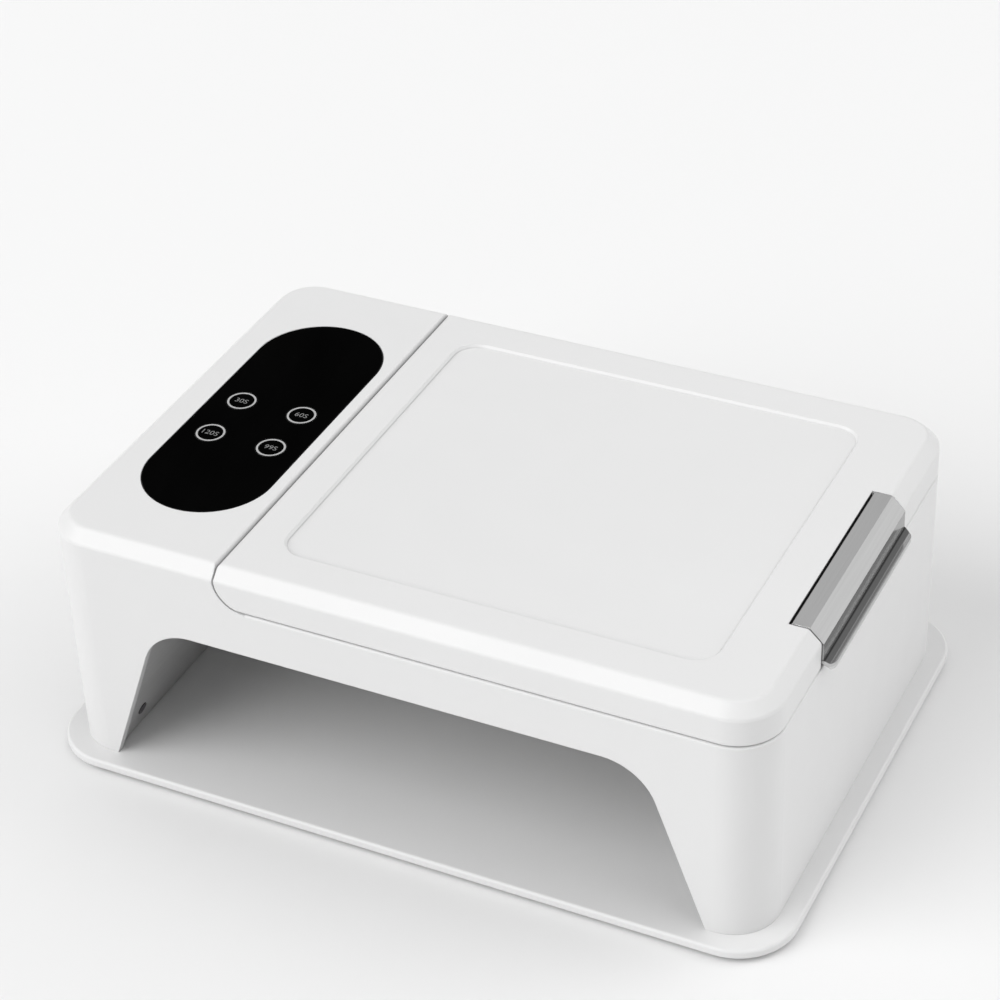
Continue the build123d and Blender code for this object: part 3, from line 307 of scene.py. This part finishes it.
def chrome(name):
    """Bright plated handle: mirror-like, faintly drawn along its length, with painted highlights on its edges, painted
    dark lines along its top fold and crease, and a painted dark reflection on its outer wall and lip.
    """
    k = Look(name)
    k.rounded(0.00018, 6)
    edge = k.edges(0.25)
    drawn = k.noise(1400.0, 3.0, 0.6, stretch=(1.0, 0.015, 1.0))
    haze = k.noise(60.0, 3.0, 0.5)
    pits = k.span(k.cells(900.0), 0.0, 0.06, 1.0, 0.0)
    colour = k.mix(k.span(drawn, 0.3, 0.7, 0.0, 1.0), grey(0.615), grey(0.65))
    # Painted dark reflection: the outer wall and, more lightly, the lip are painted darker grey, as if reflecting dark
    # surroundings.
    x, z = k.axis(0), k.axis(2)
    out = k.span(x, 0.1116, 0.1119, 0.0, 1.0)
    wall = k.sum("MULTIPLY", k.span(z, 0.0746, 0.0749, 0.0, 1.0), k.span(z, 0.0799, 0.0804, 1.0, 0.0))
    lip = k.sum("MULTIPLY", k.span(z, 0.0726, 0.0730, 0.0, 1.0), k.span(z, 0.0746, 0.0749, 1.0, 0.0))
    shade = k.sum("ADD", k.sum("MULTIPLY", wall, 0.92), k.sum("MULTIPLY", lip, 0.38))
    colour = k.mix(k.sum("MULTIPLY", out, shade), colour, grey(0.32))
    # Painted highlight: the broken edges are painted lighter, as if catching the light.
    colour = k.mix(k.sum("MULTIPLY", edge, 0.55), colour, grey(0.88))
    # Painted shade: thin dark lines along the top fold and the crease of the outer wall.
    painted_fold_line = k.sum("MULTIPLY", k.span(z, 0.08005, 0.0802, 0.0, 1.0), k.span(z, 0.0804, 0.08055, 1.0, 0.0))
    painted_crease_line = k.sum("MULTIPLY", k.span(z, 0.0746, 0.0748, 0.0, 1.0), k.span(z, 0.0750, 0.0752, 1.0, 0.0))
    colour = k.mix(k.sum("MULTIPLY", out, k.sum("MAXIMUM", painted_fold_line, painted_crease_line)), colour, grey(0.14))
    colour = k.mix(k.sum("MULTIPLY", pits, 0.25), colour, grey(0.30))
    r = k.sum("ADD", k.span(haze, 0.3, 0.7, 0.06, 0.11), k.span(drawn, 0.3, 0.7, 0.0, 0.03))
    k.bump(drawn, 8e-7, 0.4)
    k.shader(Metallic=1.0)
    return k.finish(colour, r)


def steel(name, tone, rough, stretch, break_r=0.00012):
    """Plain steel, drawn or plated."""
    k = Look(name)
    k.rounded(break_r)
    edge = k.edges()
    drawn = k.noise(2200.0, 3.0, 0.6, stretch=stretch)
    stain = k.noise(160.0, 3.0, 0.55)
    colour = k.mix(k.span(drawn, 0.3, 0.7, 0.0, 1.0), grey(tone * 0.9), grey(tone * 1.08))
    colour = k.mix(k.span(stain, 0.5, 0.8, 0.0, 0.5), colour, (tone * 0.78, tone * 0.75, tone * 0.70))
    colour = k.mix(k.sum("MULTIPLY", edge, 0.5), colour, grey(min(0.95, tone * 1.4)))
    k.bump(drawn, 3e-6, 0.6)
    k.shader(Metallic=1.0)
    return k.finish(colour, k.span(stain, 0.3, 0.7, rough - 0.05, rough + 0.10))


def magnet(name):
    """Dark nickel plate, a little scuffed."""
    k = Look(name)
    k.rounded(0.00015)
    edge = k.edges()
    scuff = k.noise(700.0, 3.0, 0.6, stretch=(1.0, 1.0, 0.3))
    cloud = k.noise(240.0, 2.0, 0.5)
    colour = k.mix(k.span(cloud, 0.3, 0.7, 0.0, 1.0), grey(0.085), grey(0.13))
    colour = k.mix(k.span(scuff, 0.6, 0.85, 0.0, 0.6), colour, grey(0.32))
    colour = k.mix(k.sum("MULTIPLY", edge, 0.7), colour, grey(0.62))
    k.bump(scuff, 3e-6, 0.5)
    k.shader(Metallic=0.85)
    return k.finish(colour, k.span(scuff, 0.3, 0.8, 0.22, 0.42))


def rubber(name):
    """Matte black elastomer with a dusty bloom."""
    k = Look(name)
    k.rounded(0.0002)
    edge = k.edges()
    pebble = k.cells(1100.0)
    bloom = k.noise(130.0, 4.0, 0.6)
    colour = k.mix(k.span(bloom, 0.35, 0.75, 0.0, 1.0), grey(0.012), grey(0.030))
    colour = k.mix(k.sum("MULTIPLY", edge, 0.4), colour, grey(0.07))
    k.bump(pebble, 1.2e-5, 0.6)
    k.shader(IOR=1.5, Specular_IOR_Level=0.3)
    return k.finish(colour, k.span(bloom, 0.3, 0.8, 0.72, 0.90))


def circuit_board(name):
    """Green solder mask over copper tracks, with tinned pads."""
    k = Look(name)
    k.rounded(0.0001)
    a = k.noise(120.0, 0.0, 0.5, stretch=(0.12, 1.6, 1.0))
    b = k.noise(120.0, 0.0, 0.5, stretch=(1.6, 0.12, 1.0), shift=(3.0, 5.0, 0.0))
    track = k.sum("MAXIMUM", k.span(k.sum("PINGPONG", k.sum("MULTIPLY", a, 9.0), 0.5), 0.28, 0.34, 0.0, 1.0),
                  k.span(k.sum("PINGPONG", k.sum("MULTIPLY", b, 7.0), 0.5), 0.38, 0.43, 0.0, 1.0))
    pads = k.span(k.cells(210.0), 0.10, 0.16, 1.0, 0.0)
    weave = k.noise(900.0, 1.0, 0.5)
    colour = k.mix(k.span(weave, 0.3, 0.7, 0.0, 1.0), (0.006, 0.060, 0.026), (0.009, 0.078, 0.034))
    colour = k.mix(k.sum("MULTIPLY", track, 0.65), colour, (0.020, 0.150, 0.060))
    colour = k.mix(pads, colour, (0.56, 0.55, 0.50))
    r = k.span(pads, 0.0, 1.0, 0.30, 0.22)
    k.bump(track, 3.0e-5, 0.6)
    k.bump(weave, 4e-6, 0.5)
    k.shader(IOR=1.5, Specular_IOR_Level=0.5)
    return k.finish(colour, r)


def diode_lens(name):
    """Clear dome over a pale yellow phosphor and a small die, white body round it."""
    k = Look(name)
    x, y, z = k.axis(0), k.axis(1), k.axis(2)

    def wrapped(value, low, high, centre):
        w = k.add("ShaderNodeMath", operation="WRAP")
        k.put(value, w.inputs[0])
        w.inputs[1].default_value = high
        w.inputs[2].default_value = low
        return k.sum("SUBTRACT", w.outputs[0], centre)

    dx = wrapped(x, 0.0, 0.020, 0.010)
    dy = wrapped(y, -0.014, 0.014, 0.0)
    dy = wrapped(k.sum("SUBTRACT", y, 0.004), -0.014, 0.014, 0.0)
    roof = k.sum("SQRT", k.sum("ADD", k.sum("MULTIPLY", dx, dx), k.sum("MULTIPLY", dy, dy)), 0.0)
    sy = wrapped(k.sum("SUBTRACT", y, -0.0045), -0.01275, 0.01275, 0.0)
    sz = k.sum("SUBTRACT", z, 0.0268)
    side = k.sum("SQRT", k.sum("ADD", k.sum("MULTIPLY", sy, sy), k.sum("MULTIPLY", sz, sz)), 0.0)
    on_side = k.span(k.sum("ABSOLUTE", x, 0.0), 0.065, 0.066, 0.0, 1.0)
    off = k.sum("ADD", k.sum("MULTIPLY", roof, k.sum("SUBTRACT", 1.0, on_side)), k.sum("MULTIPLY", side, on_side))
    grain = k.noise(3000.0, 2.0, 0.6)
    off = k.sum("ADD", off, k.span(grain, 0.3, 0.7, -0.00006, 0.00006))
    colour = k.mix(k.span(off, 0.00095, 0.00115, 0.0, 1.0), (0.83, 0.60, 0.10), (0.78, 0.78, 0.74))
    colour = k.mix(k.span(off, 0.00038, 0.00044, 1.0, 0.0), colour, (0.50, 0.30, 0.03))
    k.bump(grain, 2e-6, 0.4)
    k.shader(IOR=1.5, Specular_IOR_Level=0.5, Coat_Weight=0.8, Coat_Roughness=0.04)
    return k.finish(colour, k.span(grain, 0.3, 0.7, 0.20, 0.34))


def sensor_lens(name):
    """Deep plum infrared window with a small bright rim."""
    k = Look(name)
    k.rounded(0.00012)
    edge = k.edges()
    cloud = k.noise(900.0, 2.0, 0.5)
    colour = k.mix(k.span(cloud, 0.3, 0.7, 0.0, 1.0), (0.010, 0.006, 0.010), (0.018, 0.010, 0.016))
    colour = k.mix(k.sum("MULTIPLY", edge, 0.3), colour, (0.10, 0.09, 0.10))
    k.bump(cloud, 1.5e-6, 0.4)
    k.shader(IOR=1.5, Specular_IOR_Level=0.5)
    return k.finish(colour, k.span(cloud, 0.3, 0.7, 0.08, 0.18))


def lead_jacket(name):
    """Black PVC with a slight extrusion ripple."""
    k = Look(name)
    ripple = k.noise(900.0, 2.0, 0.5, stretch=(1.0, 1.0, 0.15))
    cloud = k.noise(120.0, 3.0, 0.5)
    colour = k.mix(k.span(cloud, 0.3, 0.7, 0.0, 1.0), grey(0.012), grey(0.022))
    k.bump(ripple, 1.2e-5, 0.5)
    k.shader(IOR=1.5, Specular_IOR_Level=0.4)
    return k.finish(colour, k.span(ripple, 0.3, 0.7, 0.40, 0.55))


WHITE = 0.72
LOOKS = {
    # The housing carries painted shade at its panel's foot and in the seam left of the lid.
    "housing_white": white_shell("housing_white", WHITE, 0.34, 0.00035, 5.0e-6, painted_seam_shade=True),
    "plate_white": white_shell("plate_white", WHITE, 0.42, 0.00025, 7.0e-6),
    "inner_white": matte_plastic("inner_white", grey(0.74), grey(0.77), 0.52),
    "tray_grey": matte_plastic("tray_grey", (0.52, 0.525, 0.54), (0.56, 0.565, 0.58), 0.56, grain=1.1e-5, grain_scale=1100.0),
    "reflector_grey": reflector("reflector_grey"),
    "panel_black": gloss_black("panel_black"),
    "latch_chrome": chrome("latch_chrome"),
    "spring_steel": steel("spring_steel", 0.55, 0.24, (1.0, 0.04, 1.0)),
    "screw_steel": steel("screw_steel", 0.46, 0.34, (1.0, 1.0, 0.2)),
    "magnet_nickel": magnet("magnet_nickel"),
    "soft_rubber": rubber("soft_rubber"),
    "board_green": circuit_board("board_green"),
    "diode_lens": diode_lens("diode_lens"),
    "sensor_dark": sensor_lens("sensor_dark"),
    "display_black": matte_plastic("display_black", grey(0.010), grey(0.016), 0.30, grain=3e-6),
    "component_black": matte_plastic("component_black", grey(0.018), grey(0.028), 0.50, grain=9e-6),
    "lead_jacket": lead_jacket("lead_jacket"),
}
for node_name, obj in NODES.items():
    look = LOOKS[SLOT_OF[node_name]]
    if not obj.material_slots:
        obj.data.materials.append(look)
    for s in obj.material_slots:
        s.material = look


# -------------------------------------------- printing on the keys
KEYS = {"key_30s": "30S", "key_60s": "60S", "key_120s": "120S", "key_99s": "99S"}
RING_INK = printed_ink("ring_ink", 0.46)
NUMBER_INK = printed_ink("number_ink", 0.23)
INK_T = 0.00003


def link_piece(name, mesh, body, look):
    obj = bpy.data.objects.new(name, mesh)
    scene.collection.objects.link(obj)
    obj.data.materials.clear()
    obj.data.materials.append(look)
    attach(obj, body)
    return obj


def ring_mesh(name, centre, z, r_in, r_out, thick, steps=96):
    """Printed ring: a low band with softened shoulders."""
    w = r_out - r_in
    section = [(r_in, 0.0), (r_in + 0.03 * w, 0.75 * thick), (r_in + 0.14 * w, thick),
               (r_out - 0.14 * w, thick), (r_out - 0.03 * w, 0.75 * thick), (r_out, 0.0)]
    bm = bmesh.new()
    rows = []
    for i in range(steps):
        a = 2 * math.pi * i / steps
        rows.append([bm.verts.new((centre[0] + r * math.cos(a), centre[1] + r * math.sin(a), z + h))
                     for r, h in section])
    for i in range(steps):
        p, q = rows[i], rows[(i + 1) % steps]
        for j in range(len(section)):
            n = (j + 1) % len(section)
            bm.faces.new((p[j], q[j], q[n], p[n]))
    bmesh.ops.recalc_face_normals(bm, faces=bm.faces)
    mesh = bpy.data.meshes.new(name)
    bm.to_mesh(mesh)
    bm.free()
    for f in mesh.polygons:
        f.use_smooth = False
    return mesh


def number_mesh(name, text, centre, z, width, height, thick):
    """Printed number as a thin solid, squeezed to the width and height of the print."""
    curve = bpy.data.curves.new(name, "FONT")
    curve.body = text
    curve.size = 0.003
    curve.align_x = "LEFT"
    curve.resolution_u = 6
    curve.offset = -0.000012
    curve.extrude = 0.0005
    tmp = bpy.data.objects.new(name + "_tmp", curve)
    scene.collection.objects.link(tmp)
    bpy.context.view_layer.update()
    deps = bpy.context.evaluated_depsgraph_get()
    mesh = bpy.data.meshes.new_from_object(tmp.evaluated_get(deps))
    bpy.data.objects.remove(tmp)
    bpy.data.curves.remove(curve)
    mesh.name = name
    xs = [v.co.x for v in mesh.vertices]
    ys = [v.co.y for v in mesh.vertices]
    cx, cy = (min(xs) + max(xs)) / 2, (min(ys) + max(ys)) / 2
    sx, sy = width / (max(xs) - min(xs)), height / (max(ys) - min(ys))
    for v in mesh.vertices:
        v.co = Vector((centre[0] + (v.co.x - cx) * sx, centre[1] + (v.co.y - cy) * sy,
                       z + (thick if v.co.z > 0 else 0.0)))
    bm = bmesh.new()
    bm.from_mesh(mesh)
    bmesh.ops.remove_doubles(bm, verts=bm.verts, dist=1e-7)
    bmesh.ops.dissolve_degenerate(bm, edges=bm.edges, dist=1e-7)
    bmesh.ops.recalc_face_normals(bm, faces=bm.faces)
    bm.to_mesh(mesh)
    bm.free()
    return mesh


for key, text in KEYS.items():
    lo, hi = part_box(key)
    c = ((lo.x + hi.x) / 2, (lo.y + hi.y) / 2)
    link_piece(key + "_ring", ring_mesh(key + "_ring", c, hi.z - 1e-6, 0.00386, 0.00448, INK_T), key, RING_INK)
    wide = 0.0041 if len(text) == 3 else 0.0052
    link_piece(key + "_number", number_mesh(key + "_number", text, c, hi.z - 1e-6, wide, 0.0020, INK_T), key, NUMBER_INK)


# ------------------------------------- painted shadow: a dark strip on the wall of the latch's pocket
def strip_mesh(name, x, y0, y1, z0, z1, thick, corner, steps=6):
    """Thin strip standing across X, with round corners and a softened outer edge."""
    outline = []
    for cy, cz, start in ((y1 - corner, z1 - corner, 0), (y0 + corner, z1 - corner, 90),
                          (y0 + corner, z0 + corner, 180), (y1 - corner, z0 + corner, 270)):
        for i in range(steps + 1):
            a = math.radians(start + 90.0 * i / steps)
            outline.append((cy, cz, math.cos(a), math.sin(a)))
    layers = [(0.0, corner), (0.6 * thick, corner), (thick, corner - 0.5 * thick)]
    bm = bmesh.new()
    rows = [[bm.verts.new((x + dx, cy + r * ca, cz + r * sa)) for cy, cz, ca, sa in outline] for dx, r in layers]
    n = len(outline)
    for low, high in zip(rows, rows[1:]):
        for i in range(n):
            j = (i + 1) % n
            bm.faces.new((low[i], low[j], high[j], high[i]))
    bm.faces.new(rows[0])
    bm.faces.new(rows[-1])
    bmesh.ops.recalc_face_normals(bm, faces=bm.faces)
    mesh = bpy.data.meshes.new(name)
    bm.to_mesh(mesh)
    bm.free()
    return mesh


POCKET_WALL = 0.1023
# Painted shadow: a black strip on the pocket wall makes the gap inside the flap's edge read as a dark line.
link_piece("pocket_shadow_strip", strip_mesh("pocket_shadow_strip", POCKET_WALL - 0.00001, -0.0353, 0.0315, 0.0775, 0.08445, 0.00009, 0.0005),
           "lid", LOOKS["soft_rubber"])


# ------------------------------------------------------ floor, world, lights
def floor():
    """Wide round floor of matte pale paper."""
    bm = bmesh.new()
    bmesh.ops.create_circle(bm, cap_ends=True, cap_tris=False, segments=128, radius=9.0)
    mesh = bpy.data.meshes.new("floor")
    bm.to_mesh(mesh)
    bm.free()
    obj = bpy.data.objects.new("floor", mesh)
    scene.collection.objects.link(obj)
    k = Look("floor_paper")
    tooth = k.noise(900.0, 2.0, 0.5)
    cloud = k.noise(1.6, 2.0, 0.5)
    colour = k.mix(k.span(cloud, 0.3, 0.7, 0.0, 1.0), grey(0.795), grey(0.805))
    k.bump(tooth, 4e-6, 0.3)
    k.shader(Specular_IOR_Level=0.0)
    mesh.materials.append(k.finish(colour, k.span(tooth, 0.3, 0.7, 0.92, 1.0)))


def soft_bank(name, towards, spread, strength, in_gloss=True):
    """A wide bank of light, so far off that it lights the floor evenly."""
    data = bpy.data.lights.new(name, "SUN")
    data.angle = math.radians(spread)
    data.energy = strength
    obj = bpy.data.objects.new(name, data)
    scene.collection.objects.link(obj)
    d = Vector(towards).normalized()
    obj.location = d * 2.0
    obj.rotation_euler = (-d).to_track_quat("-Z", "Y").to_euler()
    obj.visible_camera = False
    obj.visible_glossy = in_gloss


def surround():
    """Pale studio all round: bright near the horizon and overhead, with two dark flags and a bright card at the back."""
    world = bpy.data.worlds.new("studio")
    scene.world = world
    world.use_nodes = True
    t = world.node_tree
    t.nodes.clear()
    out = t.nodes.new("ShaderNodeOutputWorld")
    seen, light = t.nodes.new("ShaderNodeBackground"), t.nodes.new("ShaderNodeBackground")
    both, path = t.nodes.new("ShaderNodeMixShader"), t.nodes.new("ShaderNodeLightPath")
    t.links.new(path.outputs["Is Camera Ray"], both.inputs[0])
    t.links.new(light.outputs[0], both.inputs[1])
    t.links.new(seen.outputs[0], both.inputs[2])
    t.links.new(both.outputs[0], out.inputs[0])
    seen.inputs[0].default_value = (0.913, 0.913, 0.913, 1.0)
    where = t.nodes.new("ShaderNodeTexCoord").outputs["Generated"]
    sep = t.nodes.new("ShaderNodeSeparateXYZ")
    t.links.new(where, sep.inputs[0])
    rise = t.nodes.new("ShaderNodeValToRGB")
    stops = [(0.0, 0.36), (0.30, 0.33), (0.50, 0.52), (0.62, 0.64), (0.80, 0.46), (1.0, 0.48)]
    while len(rise.color_ramp.elements) < len(stops):
        rise.color_ramp.elements.new(0.5)
    for e, (at, v) in zip(rise.color_ramp.elements, stops):
        e.position = at
        e.color = (v, v, v, 1.0)
    t.links.new(sep.outputs[2], rise.inputs[0])
    level = rise.outputs[0]
    for towards, inner, outer, dark in (((-0.58, 0.65, 0.50), 13.5, 19.5, 0.015), ((0.43, 0.76, 0.47), 6.0, 10.0, 0.22),
                                        ((0.62, 0.76, 0.20), 9.0, 14.0, 0.85)):
        dot = t.nodes.new("ShaderNodeVectorMath")
        dot.operation = "DOT_PRODUCT"
        t.links.new(where, dot.inputs[0])
        dot.inputs[1].default_value = Vector(towards).normalized()
        flag = t.nodes.new("ShaderNodeMapRange")
        flag.interpolation_type = "SMOOTHSTEP"
        for i, v in enumerate((math.cos(math.radians(outer)), math.cos(math.radians(inner)), 0.0, 1.0)):
            flag.inputs[i + 1].default_value = v
        t.links.new(dot.outputs["Value"], flag.inputs[0])
        mix = t.nodes.new("ShaderNodeMix")
        mix.data_type = "FLOAT"
        t.links.new(flag.outputs[0], mix.inputs[0])
        t.links.new(level, mix.inputs[2])
        mix.inputs[3].default_value = dark
        level = mix.outputs[0]
    t.links.new(level, light.inputs[1])
    light.inputs[0].default_value = (1.0, 1.0, 1.0, 1.0)


studio_camera()
floor()
surround()
soft_bank("key_light", (-0.50, -0.64, 0.56), 56.0, 2.04)
soft_bank("side_light", (0.80, 0.55, 0.22), 60.0, 1.02, in_gloss=False)
soft_bank("top_light", (0.45, 0.10, 0.89), 60.0, 0.74, in_gloss=False)
soft_bank("back_light", (-0.45, 0.80, 0.35), 70.0, 0.36, in_gloss=False)
scene.view_settings.view_transform = "Standard"
scene.view_settings.look = "None"
scene.view_settings.exposure = 0.0
scene.view_settings.gamma = 1.0
